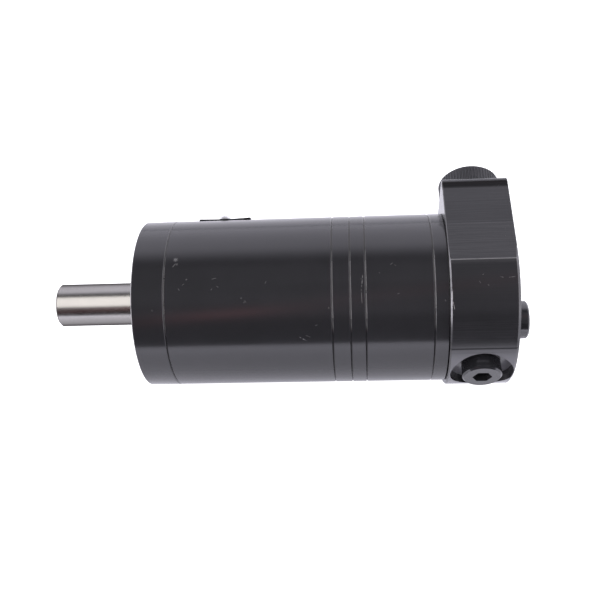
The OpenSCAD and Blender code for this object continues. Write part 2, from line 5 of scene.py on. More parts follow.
import bmesh
import bpy
from mathutils import Euler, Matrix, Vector


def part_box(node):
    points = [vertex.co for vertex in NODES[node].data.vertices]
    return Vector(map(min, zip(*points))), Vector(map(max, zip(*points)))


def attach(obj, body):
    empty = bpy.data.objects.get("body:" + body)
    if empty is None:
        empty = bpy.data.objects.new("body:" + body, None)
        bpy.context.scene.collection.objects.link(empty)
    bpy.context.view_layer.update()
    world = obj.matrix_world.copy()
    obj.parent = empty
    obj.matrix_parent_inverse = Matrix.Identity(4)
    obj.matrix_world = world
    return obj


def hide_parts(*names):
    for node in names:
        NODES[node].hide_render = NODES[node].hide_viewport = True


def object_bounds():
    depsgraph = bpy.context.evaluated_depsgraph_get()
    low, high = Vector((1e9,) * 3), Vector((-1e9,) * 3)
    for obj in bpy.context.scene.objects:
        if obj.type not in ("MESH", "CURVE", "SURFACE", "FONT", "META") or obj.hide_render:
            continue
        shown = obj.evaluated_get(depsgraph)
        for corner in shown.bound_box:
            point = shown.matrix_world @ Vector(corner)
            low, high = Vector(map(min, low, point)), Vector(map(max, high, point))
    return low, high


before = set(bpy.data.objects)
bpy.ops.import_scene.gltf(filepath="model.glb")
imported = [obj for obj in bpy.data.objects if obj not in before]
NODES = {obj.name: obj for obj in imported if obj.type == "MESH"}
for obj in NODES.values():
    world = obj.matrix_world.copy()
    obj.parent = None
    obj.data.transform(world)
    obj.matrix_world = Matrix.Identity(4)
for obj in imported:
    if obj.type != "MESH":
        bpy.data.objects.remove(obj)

CAD_BOX = [list(v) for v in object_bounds()]
MM = 0.001
BODY_R = 31.0               # mm, radius at which marks on the skin are measured
SKIN_R = (29.9, 30.2)       # mm, the paint outside this radius is the outer skin
FLAT_Z = (31.4, 31.7)       # mm, height at which the port cover's side flat begins
BARE = (0.62, 0.61, 0.60)   # bare metal under the paint


# ---------------------------------------------------------------- node trees

class Tree:
    """A node tree with short ways to add nodes. Values that are sockets get linked."""

    def __init__(self, tree, clear=True):
        self.t = tree
        if clear:
            self.t.nodes.clear()

    def add(self, kind, _props=None, **inputs):
        node = self.t.nodes.new(kind)
        for key, value in (_props or {}).items():
            setattr(node, key, value)
        for key, value in inputs.items():
            name = int(key[1:]) if key[0] == "i" and key[1:].isdigit() else key.replace("_", " ")
            self.put(node.inputs[name], value)
        return node

    def put(self, socket, value):
        if isinstance(value, bpy.types.NodeSocket):
            self.t.links.new(value, socket)
        elif isinstance(value, bpy.types.Node):
            self.t.links.new(value.outputs[0], socket)
        elif isinstance(value, (tuple, list)) and len(value) == 3 and socket.type == "RGBA":
            socket.default_value = (*value, 1)
        else:
            socket.default_value = value

    def math(self, op, a, b=0.0, c=None, clamp=False):
        ins = {"i0": a, "i1": b}
        if c is not None:
            ins["i2"] = c
        return self.add("ShaderNodeMath", {"operation": op, "use_clamp": clamp}, **ins).outputs[0]

    def step(self, x, lo, hi, to0=0.0, to1=1.0):
        """Smooth step of x from to0 at lo to to1 at hi."""
        return self.add("ShaderNodeMapRange", {"interpolation_type": "SMOOTHSTEP"},
                        i0=x, i1=lo, i2=hi, i3=to0, i4=to1).outputs[0]

    def noise(self, vector, scale, detail=3.0, rough=0.5):
        return self.add("ShaderNodeTexNoise", None, Vector=vector, Scale=scale,
                        Detail=detail, Roughness=rough).outputs[0]

    def cells(self, vector, scale, random_=1.0):
        return self.add("ShaderNodeTexVoronoi", None, Vector=vector, Scale=scale,
                        Randomness=random_).outputs["Distance"]

    def scaled(self, vector, sx, sy, sz, move=(0, 0, 0)):
        node = self.add("ShaderNodeMapping", None, Vector=vector)
        node.inputs["Scale"].default_value = (sx, sy, sz)
        node.inputs["Location"].default_value = move
        return node.outputs[0]

    def xyz(self, vector):
        return self.add("ShaderNodeSeparateXYZ", None, Vector=vector).outputs

    def vec(self, x, y, z):
        return self.add("ShaderNodeCombineXYZ", None, X=x, Y=y, Z=z).outputs[0]

    def mix(self, fac, a, b):
        node = self.add("ShaderNodeMix", {"data_type": "RGBA"})
        self.put(node.inputs[0], fac)
        self.put(node.inputs[6], a)
        self.put(node.inputs[7], b)
        return node.outputs[2]

    def mixf(self, fac, a, b):
        node = self.add("ShaderNodeMix", {"data_type": "FLOAT"})
        self.put(node.inputs[0], fac)
        self.put(node.inputs[2], a)
        self.put(node.inputs[3], b)
        return node.outputs[0]

    def bump(self, height, distance, strength=1.0, normal=None):
        node = self.add("ShaderNodeBump", None, Height=height, Distance=distance, Strength=strength)
        if normal is not None:
            self.put(node.inputs["Normal"], normal)
        return node.outputs[0]


def material(name):
    """A new node material: (material, tree, main shader, object coordinates)."""
    mat = bpy.data.materials.new(name)
    mat.use_nodes = True
    t = Tree(mat.node_tree)
    bsdf = t.add("ShaderNodeBsdfPrincipled")
    out = t.add("ShaderNodeOutputMaterial")
    t.t.links.new(bsdf.outputs[0], out.inputs[0])
    coord = t.add("ShaderNodeTexCoord").outputs["Object"]
    return mat, t, bsdf, coord


def near(t, coord, x, y, z, r, soft):
    """Mask that is 1 within r of a point (all in mm) and fades over soft."""
    d = t.add("ShaderNodeVectorMath", {"operation": "DISTANCE"}, i0=coord, i1=(x * MM, y * MM, z * MM))
    return t.step(d.outputs["Value"], (r + soft) * MM, r * MM)


def bell(t, value, middle, width):
    """Soft hump of height 1 round middle."""
    off = t.math("DIVIDE", t.math("SUBTRACT", value, middle), width)
    return t.math("EXPONENT", t.math("MULTIPLY", t.math("MULTIPLY", off, off), -1.0))


def grain_vector(t, coord):
    """For a part turned about X: (distance along the axis, angle round it in radians, radius)."""
    x, y, z = t.xyz(coord)
    angle = t.math("ARCTAN2", z, y)
    r = t.math("SQRT", t.math("ADD", t.math("MULTIPLY", y, y), t.math("MULTIPLY", z, z)))
    return x, angle, r


def stretched(t, x, angle, along, turned, third):
    """Noise coordinates with one scale along the axis and another round it."""
    return t.vec(t.math("MULTIPLY", x, along), t.math("MULTIPLY", angle, turned), third)


def black_paint(name, seed, scuffs=(), scratches=(), milled=False):
    """Satin black enamel: faint orange peel, dust, small scuffs, and edges worn to the metal, with painted
    highlights and painted shade lines on the edges between the sections.
    """
    mat, t, bsdf, coord = material(name)
    shift = t.scaled(coord, 1, 1, 1, (seed * 0.37, seed * 0.11, seed * 0.23))
    x, angle, r = grain_vector(t, coord)
    lean = t.xyz(t.add("ShaderNodeNewGeometry").outputs["Normal"])[0]
    # degrees round the body, from the side that faces away from the ports over the top
    away = t.math("MULTIPLY", t.xyz(coord)[1], -1.0)
    turn = t.math("MULTIPLY", t.math("ARCTAN2", t.xyz(coord)[2], away), 180 / math.pi)
    # colour: near black with slow cloudy variation
    cloud = t.noise(shift, 45, 3)
    base = t.mix(cloud, (0.021, 0.021, 0.0225), (0.031, 0.0305, 0.0335))
    rough = t.mixf(t.noise(shift, 90, 4, 0.6), 0.135, 0.20)
    # fine dust that has settled in the paint
    dust = t.step(t.cells(shift, 760), 0.075, 0.03)
    dust = t.math("MULTIPLY", dust, t.step(t.noise(shift, 60, 2), 0.58, 0.70))
    base = t.mix(t.math("MULTIPLY", dust, 0.16), base, (0.30, 0.30, 0.30))
    # thin scratches that run both ways along the skin
    streak = t.noise(stretched(t, x, angle, 260.0, 3.1, t.math("MULTIPLY", r, 120.0)), 1.0, 4, 0.7)
    rough = t.math("ADD", rough, t.step(streak, 0.55, 0.75, 0.0, 0.04))
    # edges between the sections: rubbed to bare metal in patches, with a painted highlight on the band round
    # the body that faces the camera, strongest on the faces turned towards -X; above that band a faint
    # painted highlight, and below it a faint painted highlight on the -X faces and painted shade, a
    # near-black line, on the +X faces
    tilt = t.math("ABSOLUTE", lean)
    chamfer = t.math("MULTIPLY", t.step(tilt, 0.35, 0.55), t.step(tilt, 0.93, 0.80))
    chamfer = t.math("MULTIPLY", chamfer, t.step(r, SKIN_R[0] * MM, SKIN_R[1] * MM))
    camera_facing_band = t.math("MULTIPLY", t.step(turn, 34.0, 50.0), t.step(turn, 96.0, 76.0))
    patchy = t.noise(stretched(t, x, angle, 30.0, 5.0, seed * 1.7), 1.0, 4, 0.6)
    rubbed_and_highlight = t.math("MULTIPLY", t.math("MULTIPLY", chamfer, camera_facing_band), t.step(patchy, 0.25, 0.55, 0.55, 1.0))
    rubbed_and_highlight = t.math("MULTIPLY", rubbed_and_highlight, t.mixf(t.step(lean, 0.2, -0.2), 0.16, 0.62))
    # painted highlights on the edges above and below the band, and painted shade on the lower band's +X faces
    above = t.math("MULTIPLY", chamfer, t.step(turn, 78.0, 98.0, 0.0, 0.12))
    lower_band = t.math("MULTIPLY", chamfer, t.step(turn, 34.0, 20.0))
    below = t.math("MULTIPLY", lower_band, t.step(lean, 0.0, -0.2, 0.0, 0.07))
    base = t.mix(t.math("MULTIPLY", lower_band, t.step(lean, 0.0, 0.2, 0.0, 0.9)), base, (0.003, 0.003, 0.003))
    wear_and_highlight = t.math("MAXIMUM", rubbed_and_highlight, t.math("MAXIMUM", above, below))
    # single marks where the paint is rubbed
    frag = t.noise(t.scaled(coord, 1, 1.9, 1.9, (seed, 0, 0)), 2900, 4, 0.8)
    frag = t.step(frag, 0.44, 0.64)
    for (sx, sy, sz, sr, strength) in scuffs:
        spot = near(t, coord, sx, sy, sz, sr * 0.08, sr * 0.48)
        wear_and_highlight = t.math("MAXIMUM", wear_and_highlight, t.math("MULTIPLY", t.math("MULTIPLY", spot, frag), strength * 0.6))
    # scratches: from a point along the axis, round the body, with a slant, length and width
    for (sx, st, slant, length, width, strength) in scratches:
        dx = t.math("SUBTRACT", x, sx * MM)
        dt = t.math("MULTIPLY", t.math("SUBTRACT", turn, st), BODY_R * math.pi / 180 * MM)
        ca, sa = math.cos(math.radians(slant)), math.sin(math.radians(slant))
        along = t.math("ADD", t.math("MULTIPLY", dx, ca), t.math("MULTIPLY", dt, sa))
        across = t.math("SUBTRACT", t.math("MULTIPLY", dt, ca), t.math("MULTIPLY", dx, sa))
        wobble = t.math("MULTIPLY", t.math("SUBTRACT", t.noise(coord, 700, 2), 0.5), 0.5 * width * MM)
        across = t.math("ABSOLUTE", t.math("ADD", across, wobble))
        line = t.math("MULTIPLY", t.step(across, width * MM, width * 0.35 * MM),
                      t.step(t.math("ABSOLUTE", along), length * 0.5 * MM, length * 0.3 * MM))
        broken = t.step(t.noise(t.scaled(coord, 1, 1, 1, (0, seed, 0)), 1100, 3, 0.7), 0.36, 0.52)
        wear_and_highlight = t.math("MAXIMUM", wear_and_highlight, t.math("MULTIPLY", t.math("MULTIPLY", line, broken), strength))
    height = t.noise(shift, 1300, 2, 0.5)
    bump = t.bump(height, 0.000009, 0.30)
    if milled:
        base, rough, bump, shine, edge = milled_skin(t, coord, x, angle, turn, seed, base, rough, bump)
        wear_and_highlight = t.math("MAXIMUM", wear_and_highlight, edge)
        t.put(bsdf.inputs["Specular IOR Level"], shine)
    base = t.mix(wear_and_highlight, base, BARE)
    t.put(bsdf.inputs["Base Color"], base)
    t.put(bsdf.inputs["Metallic"], t.math("MULTIPLY", t.step(wear_and_highlight, 0.12, 0.4), 0.6))
    t.put(bsdf.inputs["Roughness"], t.mixf(wear_and_highlight, rough, 0.40))
    t.put(bsdf.inputs["IOR"], 1.45)
    t.put(bsdf.inputs["Normal"], bump)
    return mat


def milled_skin(t, coord, x, angle, turn, seed, base, rough, bump):
    """Cutter lines that run along the motor and show through the paint of the port cover, with painted shade
    lines and a painted reflection on the drain plug's seat.
    """
    _, y, z = t.xyz(coord)
    lines = t.noise(stretched(t, x, angle, 22.0, 74.0, seed), 1.0, 3, 0.7)
    fine = t.noise(stretched(t, x, angle, 60.0, 190.0, seed + 3.0), 1.0, 2, 0.6)
    cut = t.math("ADD", t.math("MULTIPLY", lines, 0.6), t.math("MULTIPLY", fine, 0.4))
    calm = t.step(t.math("ABSOLUTE", t.math("SUBTRACT", turn, 36.0)), 9.0, 4.0, 0.25, 1.0)
    flat = t.step(z, FLAT_Z[0] * MM, FLAT_Z[1] * MM)
    depth = t.mixf(flat, t.math("MULTIPLY", calm, 0.45), t.mixf(t.step(y, 12.2 * MM, 9.0 * MM), 0.45, 1.0))
    bump = t.bump(t.math("MULTIPLY", cut, depth), 0.00010, 0.5, bump)
    # the flat rises to a low lip beside the port face
    lip_start, lip_curve, lip_height = 25.2 * MM, 95.0, 0.9 * MM
    climb = t.math("MAXIMUM", t.math("SUBTRACT", y, lip_start), 0.0)
    climb = t.math("MULTIPLY", t.math("MULTIPLY", climb, climb), lip_curve)
    lip = t.math("MULTIPLY", t.math("MINIMUM", climb, lip_height), t.step(z, 29.6 * MM, 30.6 * MM))
    bump = t.bump(lip, 1.0, 1.0, bump)
    # a shallow tool step across the flat
    ledge_y, ledge_half, ledge_depth = 9.6, 0.16, 0.022
    ledge = t.step(y, (ledge_y + ledge_half) * MM, (ledge_y - ledge_half) * MM)
    bump = t.bump(t.math("MULTIPLY", ledge, flat), ledge_depth * MM, 1.0, bump)
    rough = t.math("ADD", rough, t.math("MULTIPLY", flat, 0.07))
    tone = t.math("MULTIPLY", flat, t.mixf(t.step(y, 9.9 * MM, 9.4 * MM), 0.0, 0.035))
    lit = t.math("MULTIPLY", t.step(cut, 0.42, 0.66), t.math("MULTIPLY", depth, 0.075))
    base = t.mix(t.math("ADD", tone, lit), base, (0.30, 0.30, 0.31))
    # painted shade: a band under the lip and, on the turned side, two thin lines below a wider band are
    # painted near black with their shine turned down, standing in for dark reflections
    painted_dark = t.math("MULTIPLY", t.step(y, 25.4 * MM, 26.6 * MM), t.step(y, 28.5 * MM, 28.2 * MM))
    painted_dark = t.math("MULTIPLY", painted_dark, t.step(z, 30.0 * MM, 30.4 * MM, 0.0, 0.4))
    low = t.math("MULTIPLY", t.step(y, 0.0, -10.0 * MM), t.math("LESS_THAN", turn, 60.0))
    for middle, width, strength in ((23.6, 0.65, 1.0), (20.4, 0.3, 0.35), (27.0, 3.0, 0.50)):
        line = t.math("MULTIPLY", t.math("MULTIPLY", bell(t, turn, middle, width), low), strength)
        painted_dark = t.math("MAXIMUM", painted_dark, line)
    base = t.mix(painted_dark, base, (0.002, 0.002, 0.002))
    # the drain plug's cut seat is painted lighter: a painted reflection of the white table in front of it
    facing = t.xyz(t.add("ShaderNodeNewGeometry").outputs["Normal"])[1]
    seat_reflection = t.math("MULTIPLY", t.step(facing, -0.9, -0.98), t.math("LESS_THAN", y, -27.5 * MM))
    base = t.mix(t.math("MULTIPLY", seat_reflection, 0.9), base, (0.15, 0.15, 0.16))
    # a thin bright bare-metal line runs along the corner where the flat meets the turned side, stronger
    # towards the front and uneven along its length
    edge = t.math("MULTIPLY", bell(t, turn, 80.1, 0.33), t.step(x, 109.0 * MM, 112.0 * MM, 0.5, 0.34))
    uneven = t.noise(t.scaled(coord, 1, 1, 1), 160, 3, 0.6)
    edge = t.math("MULTIPLY", edge, t.step(uneven, 0.2, 0.5, 0.45, 1.0))
    return base, rough, bump, t.mixf(painted_dark, 0.5, 0.06), edge


def tapped(mat, axis_points, radius, thread_pitch, along):
    """Adds bare cut metal with a thread to the walls of holes in a painted part."""
    t = Tree(mat.node_tree, clear=False)
    bsdf = next(n for n in t.t.nodes if n.type == "BSDF_PRINCIPLED")
    coord = next(n for n in t.t.nodes if n.type == "TEX_COORD").outputs["Object"]
    xyz = t.xyz(coord)
    normal = t.xyz(t.add("ShaderNodeNewGeometry").outputs["Normal"])
    a, b = [i for i in range(3) if i != along]
    mask = 0.0
    for p in axis_points:
        da = t.math("SUBTRACT", xyz[a], p[0] * MM)
        db = t.math("SUBTRACT", xyz[b], p[1] * MM)
        d = t.math("SQRT", t.math("ADD", t.math("MULTIPLY", da, da), t.math("MULTIPLY", db, db)))
        mask = t.math("MAXIMUM", mask, t.math("LESS_THAN", d, (radius + 0.05) * MM))
    side = t.step(t.math("ABSOLUTE", normal[along]), 0.5, 0.3)
    mask = t.math("MULTIPLY", mask, side)
    base = bsdf.inputs["Base Color"].links[0].from_socket
    rough = bsdf.inputs["Roughness"].links[0].from_socket
    metal = bsdf.inputs["Metallic"].links[0].from_socket
    bump = bsdf.inputs["Normal"].links[0].from_socket
    turn = t.math("ARCTAN2", xyz[b], xyz[a])
    climb = t.math("MULTIPLY", xyz[along], 2 * math.pi / (thread_pitch * MM))
    wave = t.math("SINE", t.math("ADD", climb, turn))
    t.put(bsdf.inputs["Normal"], t.bump(t.math("MULTIPLY", wave, mask), 0.0004, 0.8, bump))
    t.put(bsdf.inputs["Base Color"], t.mix(mask, base, (0.45, 0.45, 0.45)))
    t.put(bsdf.inputs["Metallic"], t.math("MAXIMUM", metal, mask))
    t.put(bsdf.inputs["Roughness"], t.mixf(mask, rough, 0.3))


def metal(name, colour, dark, rough, grain=(900, 20, 20), spots=0.0, shine=1.0):
    """Machined metal with a direction to its grain, faint stains and tone changes."""
    mat, t, bsdf, coord = material(name)
    g = t.noise(t.scaled(coord, *grain), 1.0, 4, 0.6)
    cloud = t.noise(coord, 120, 3, 0.6)
    base = t.mix(cloud, dark, colour)
    base = t.mix(t.math("MULTIPLY", g, 0.25), base, dark)
    if spots:
        s = t.step(t.cells(coord, 420), 0.05, 0.02)
        base = t.mix(t.math("MULTIPLY", s, spots), base, (0.05, 0.04, 0.035))
    t.put(bsdf.inputs["Base Color"], base)
    t.put(bsdf.inputs["Metallic"], shine)
    t.put(bsdf.inputs["Roughness"], t.math("ADD", t.math("MULTIPLY", g, 0.12), rough))
    t.put(bsdf.inputs["Normal"], t.bump(g, 0.004 * MM, 0.4))
    return mat


def plastic(name, colour, rough, spec=0.4):
    """Moulded plastic with a fine texture and slightly shiny high spots."""
    mat, t, bsdf, coord = material(name)
    n = t.noise(coord, 900, 3, 0.6)
    slow = t.noise(coord, 140, 2)
    base = t.mix(slow, [c * 0.85 for c in colour], [c * 1.15 for c in colour])
    t.put(bsdf.inputs["Base Color"], base)
    t.put(bsdf.inputs["Roughness"], t.mixf(slow, rough - 0.06, rough + 0.06))
    t.put(bsdf.inputs["Specular IOR Level"], spec)
    t.put(bsdf.inputs["Normal"], t.bump(n, 0.00004, 0.35))
    return mat


def rubber(name, seed):
    """Dull black rubber with a fine uneven surface."""
    mat, t, bsdf, coord = material(name)
    shift = t.scaled(coord, 1, 1, 1, (seed * 0.2, 0, 0))
    n = t.noise(shift, 700, 4, 0.7)
    base = t.mix(n, (0.010, 0.010, 0.010), (0.026, 0.025, 0.025))
    t.put(bsdf.inputs["Base Color"], base)
    t.put(bsdf.inputs["Roughness"], t.mixf(n, 0.5, 0.72))
    t.put(bsdf.inputs["Normal"], t.bump(n, 0.00003, 0.5))
    return mat


def shaft_steel():
    """Ground bar: fine lines round the shaft, clouded sheen, a few tiny pits."""
    mat, t, bsdf, coord = material("shaft_steel")
    x, angle, _ = grain_vector(t, coord)
    rings = t.noise(stretched(t, x, angle, 5200.0, 1.2, 0.0), 1.0, 3, 0.7)
    cloud = t.noise(t.scaled(coord, 1, 1.6, 1.6), 130, 4, 0.62)
    base = t.mix(cloud, (0.245, 0.238, 0.226), (0.31, 0.30, 0.285))
    base = t.mix(t.math("MULTIPLY", rings, 0.20), base, (0.17, 0.17, 0.175))
    pit = t.step(t.cells(coord, 230), 0.034, 0.014)
    base = t.mix(t.math("MULTIPLY", pit, 0.8), base, (0.03, 0.028, 0.026))
    t.put(bsdf.inputs["Base Color"], base)
    t.put(bsdf.inputs["Metallic"], 1.0)
    t.put(bsdf.inputs["Specular Tint"], (0.16, 0.16, 0.165))
    t.put(bsdf.inputs["Roughness"], t.math("ADD", t.mixf(cloud, 0.19, 0.27), t.math("MULTIPLY", rings, 0.05)))
    t.put(bsdf.inputs["Normal"], t.bump(rings, 0.000004, 0.35))
    return mat


# ---------------------------------------------------------------- materials on the CAD nodes

# marks on each painted node: scuffs as (x, y, z, size, strength) in mm, and scratches as
# (x in mm, turn in degrees, slant in degrees, length, half width, strength)
PAINTED = {
    "front_cover": ([(7.6, -18.6, 24.5, 1.0, 0.35)], []),
    "main_housing": (
        [(15.4, -1.8, 30.7, 1.9, 1.3), (15.9, -3.6, 30.5, 1.1, 0.7), (19.6, -9.3, 29.3, 0.8, 0.8),
         (38.6, -15.6, 26.5, 0.7, 0.6), (39.5, -16.9, 25.7, 0.6, 0.6), (68.4, -19.0, 24.2, 0.7, 0.8)],
        [(15.0, 82.5, 55.0, 1.8, 0.16, 0.40), (18.4, 69.0, 38.0, 1.3, 0.10, 0.30),
         (17.0, 66.0, -60.0, 1.0, 0.09, 0.25), (29.2, 72.6, 12.0, 1.9, 0.11, 0.24),
         (30.3, 67.4, -35.0, 1.3, 0.10, 0.26), (28.4, 65.6, 50.0, 0.9, 0.09, 0.20),
         (40.0, 57.2, -48.0, 1.2, 0.10, 0.30), (47.0, 69.2, 62.0, 1.2, 0.09, 0.22),
         (59.3, 31.6, -33.0, 3.4, 0.14, 0.55), (61.0, 33.5, -24.0, 2.0, 0.09, 0.28),
         (64.0, 41.0, 20.0, 1.0, 0.09, 0.25)]),
    "spacer_plate": ([], []),
    "channel_plate": ([(79.6, -10.4, 28.9, 0.7, 0.6)],
                      [(79.9, 68.6, 84.0, 4.6, 0.16, 0.55), (79.6, 59.4, 92.0, 6.0, 0.13, 0.32)]),
    "stator_ring": ([(85.8, -8.6, 29.5, 0.6, 0.5)],
                    [(90.0, 79.6, 35.0, 1.3, 0.11, 0.24), (91.2, 78.4, -50.0, 0.9, 0.10, 0.2),
                     (92.0, 60.0, 20.0, 0.8, 0.09, 0.2)]),
    "wear_plate": ([(107.6, -17.6, 25.2, 0.7, 0.6)], []),
}
for seed, (node, (marks, lines)) in enumerate(PAINTED.items()):
    paint = black_paint("paint_" + node, seed + 1.0, marks, lines)
    NODES[node].data.materials.clear()
    NODES[node].data.materials.append(paint)
    if node == "front_cover":
        holes = [(22.5 * math.cos(a), 22.5 * math.sin(a)) for a in (0, 2 * math.pi / 3, 4 * math.pi / 3)]
        tapped(paint, holes, 2.5, 1.0, 0)
    if node == "stator_ring":
        tapped(paint, [(0, 0)], 18.0, 0.35, 0)
    if node == "main_housing":
        tapped(paint, [(0, 0)], 15.0, 0.5, 0)

cover_paint = black_paint("paint_port_cover", 9.0, [(121.8, -14.2, 28.9, 0.7, 0.5)], [
    (109.6, 55.2, 88.0, 7.4, 0.34, 1.0), (110.2, 52.0, 100.0, 3.0, 0.14, 0.7),
    (120.4, 70.6, 40.0, 1.3, 0.12, 0.42), (126.2, 68.4, -18.0, 1.4, 0.14, 0.20),
    (129.6, 68.2, 6.0, 2.4, 0.14, 0.20), (119.0, 65.6, -60.0, 1.0, 0.10, 0.16),
], milled=True)
tapped(cover_paint, [(121.0, 16.0), (121.0, -16.0)], 7.5, 1.8, 1)
NODES["port_cover"].data.materials.clear()
NODES["port_cover"].data.materials.append(cover_paint)

bearing = metal("bearing_steel", (0.62, 0.62, 0.63), (0.45, 0.45, 0.46), 0.16, (60, 60, 60))
oxide = metal("black_oxide_steel", (0.10, 0.10, 0.105), (0.05, 0.05, 0.055), 0.30, (300, 300, 300), 0.2)
bronze = metal("cage_bronze", (0.58, 0.40, 0.19), (0.42, 0.28, 0.12), 0.28, (400, 30, 30), 0.3)
copper = metal("seal_copper", (0.72, 0.38, 0.25), (0.50, 0.25, 0.16), 0.30, (300, 300, 300), 0.4)
rivet = metal("rivet_aluminium", (0.90, 0.90, 0.90), (0.74, 0.74, 0.75), 0.26, (200, 200, 200), shine=0.6)
SIMPLE = {
    "front_cover_screws": oxide, "assembly_bolts": oxide,
    "seal_backup_ring": bearing, "thrust_washer_front": bearing, "thrust_washer_rear": bearing,
    "thrust_needles": bearing, "drive_shaft": bearing, "drive_spacer": bearing, "rotor": bearing,
    "check_ball_a": bearing, "check_ball_b": bearing, "thrust_needle_cage": bronze,
    "bolt_washers": copper,
    "name_plate_rivets": rivet, "output_shaft": shaft_steel(),
}
for node in ("dust_seal", "shaft_seal", "front_cover_o_ring", "housing_o_ring", "spacer_o_ring",
             "channel_o_ring", "stator_o_ring", "wear_plate_o_ring", "port_cap_a_seal", "port_cap_b_seal",
             "drain_plug_seal", "rear_plug_seal"):
    SIMPLE[node] = rubber("rubber_" + node, len(SIMPLE))
cap_plastic = plastic("cap_plastic", (0.030, 0.030, 0.033), 0.42, 0.5)
SIMPLE["port_cap_a"] = SIMPLE["port_cap_b"] = cap_plastic


def plug_black():
    """Black screw plug: smooth oxide over a turned surface, rubbed a little in patches."""
    mat, t, bsdf, coord = material("plug_black")
    n = t.noise(coord, 260, 4, 0.6)
    base = t.mix(n, (0.018, 0.018, 0.020), (0.030, 0.031, 0.034))
    rub = t.step(t.noise(coord, 90, 3, 0.6), 0.52, 0.66)
    base = t.mix(t.math("MULTIPLY", rub, 0.06), base, (0.4, 0.4, 0.4))
    t.put(bsdf.inputs["Base Color"], base)
    t.put(bsdf.inputs["Roughness"], t.mixf(n, 0.13, 0.20))
    t.put(bsdf.inputs["IOR"], 1.6)
    t.put(bsdf.inputs["Normal"], t.bump(n, 0.00001, 0.25))
    return mat


SIMPLE["drain_plug"] = SIMPLE["rear_plug"] = plug_black()
for node, mat in SIMPLE.items():
    NODES[node].data.materials.clear()
    NODES[node].data.materials.append(mat)


# ---------------------------------------------------------------- name plate, bowed off the body

def name_plate():
    """Thin blank sheet wrapped on the body: pressed down in the middle, with its ends lifted a little."""
    lo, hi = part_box("name_plate")
    body_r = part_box("main_housing")[1].z
    thick = 0.45 * MM
    half = math.asin(hi.z / (body_r + 0.5 * MM))
    mid_x, half_x = (lo.x + hi.x) / 2, (hi.x - lo.x) / 2
    cols, rows, corner = 40, 60, 1.6 * MM
    bm = bmesh.new()
    layers = []
    for side in (0, 1):
        grid = []
        for i in range(cols + 1):
            u = -1 + 2 * i / cols
            line = []
            for j in range(rows + 1):
                v = -1 + 2 * j / rows
                a = v * half
                # the ends lift a little along the axis, the rear one more
                lift = abs(u) ** 1.2 * (0.34 if u > 0 else 0.16) * MM
                # corners are rounded by pulling them in
                cx = max(0.0, abs(u) * half_x - (half_x - corner))
                ca = max(0.0, abs(a) * body_r - (half * body_r - corner))
                pull = math.hypot(cx, ca) - corner
                x, ang = mid_x + u * half_x, a
                if pull > 0:
                    s = corner / (pull + corner)
                    x = mid_x + math.copysign(half_x - corner + cx * s, u)
                    ang = math.copysign(half - corner / body_r + ca * s / body_r, a)
                r = body_r + 0.02 * MM + lift + (thick if side else 0)
                line.append(bm.verts.new((x, r * math.cos(ang), r * math.sin(ang))))
            grid.append(line)
        layers.append(grid)
    for side, grid in enumerate(layers):
        for i in range(cols):
            for j in range(rows):
                quad = [grid[i][j], grid[i + 1][j], grid[i + 1][j + 1], grid[i][j + 1]]
                bm.faces.new(quad if side == 0 else quad[::-1])
    low, top = layers
    rim = [(i, 0) for i in range(cols)] + [(cols, j) for j in range(rows)]
    rim += [(i, rows) for i in range(cols, 0, -1)] + [(0, j) for j in range(rows, 0, -1)]
    for k, (i, j) in enumerate(rim):
        i2, j2 = rim[(k + 1) % len(rim)]
        bm.faces.new([low[i][j], top[i][j], top[i2][j2], low[i2][j2]])
    bmesh.ops.recalc_face_normals(bm, faces=bm.faces)
    mesh = bpy.data.meshes.new("plate_sheet")
    bm.to_mesh(mesh)
    bm.free()
    obj = bpy.data.objects.new("plate_sheet", mesh)
    bpy.context.scene.collection.objects.link(obj)
    for p in mesh.polygons:
        p.use_smooth = True
    bev = obj.modifiers.new("edge", "EDGE_SPLIT")
    bev.split_angle = math.radians(40)
    return obj


def plate_lacquer():
    """Black lacquered sheet with a plain bright border line, and nothing printed on it."""
    mat, t, bsdf, coord = material("plate_lacquer")
    n = t.noise(coord, 350, 4, 0.6)
    base = t.mix(n, (0.012, 0.012, 0.013), (0.026, 0.026, 0.028))
    x, angle, _ = grain_vector(t, coord)
    lo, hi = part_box("name_plate")
    fx = t.math("ABSOLUTE", t.math("SUBTRACT", x, (lo.x + hi.x) / 2))
    mid_r = 31.25 * MM
    fa = t.math("MULTIPLY", t.math("ABSOLUTE", angle), mid_r)
    half_x, half_a = (hi.x - lo.x) / 2, math.asin(hi.z / mid_r) * mid_r
    edge = t.math("MINIMUM", t.math("SUBTRACT", half_x, fx), t.math("SUBTRACT", half_a, fa))
    line = t.math("MULTIPLY", t.step(edge, 1.0 * MM, 1.05 * MM), t.step(edge, 1.45 * MM, 1.40 * MM))
    base = t.mix(t.math("MULTIPLY", line, 0.75), base, (0.42, 0.42, 0.43))
    t.put(bsdf.inputs["Base Color"], base)
    t.put(bsdf.inputs["Metallic"], t.math("MULTIPLY", line, 0.8))
    t.put(bsdf.inputs["Roughness"], t.mixf(n, 0.26, 0.36))
    t.put(bsdf.inputs["Normal"], t.bump(n, 0.00002, 0.3))
    return mat


plate = name_plate()
plate.data.materials.append(plate_lacquer())
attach(plate, "motor")
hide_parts("name_plate")


# ---------------------------------------------------------------- floor, light and camera

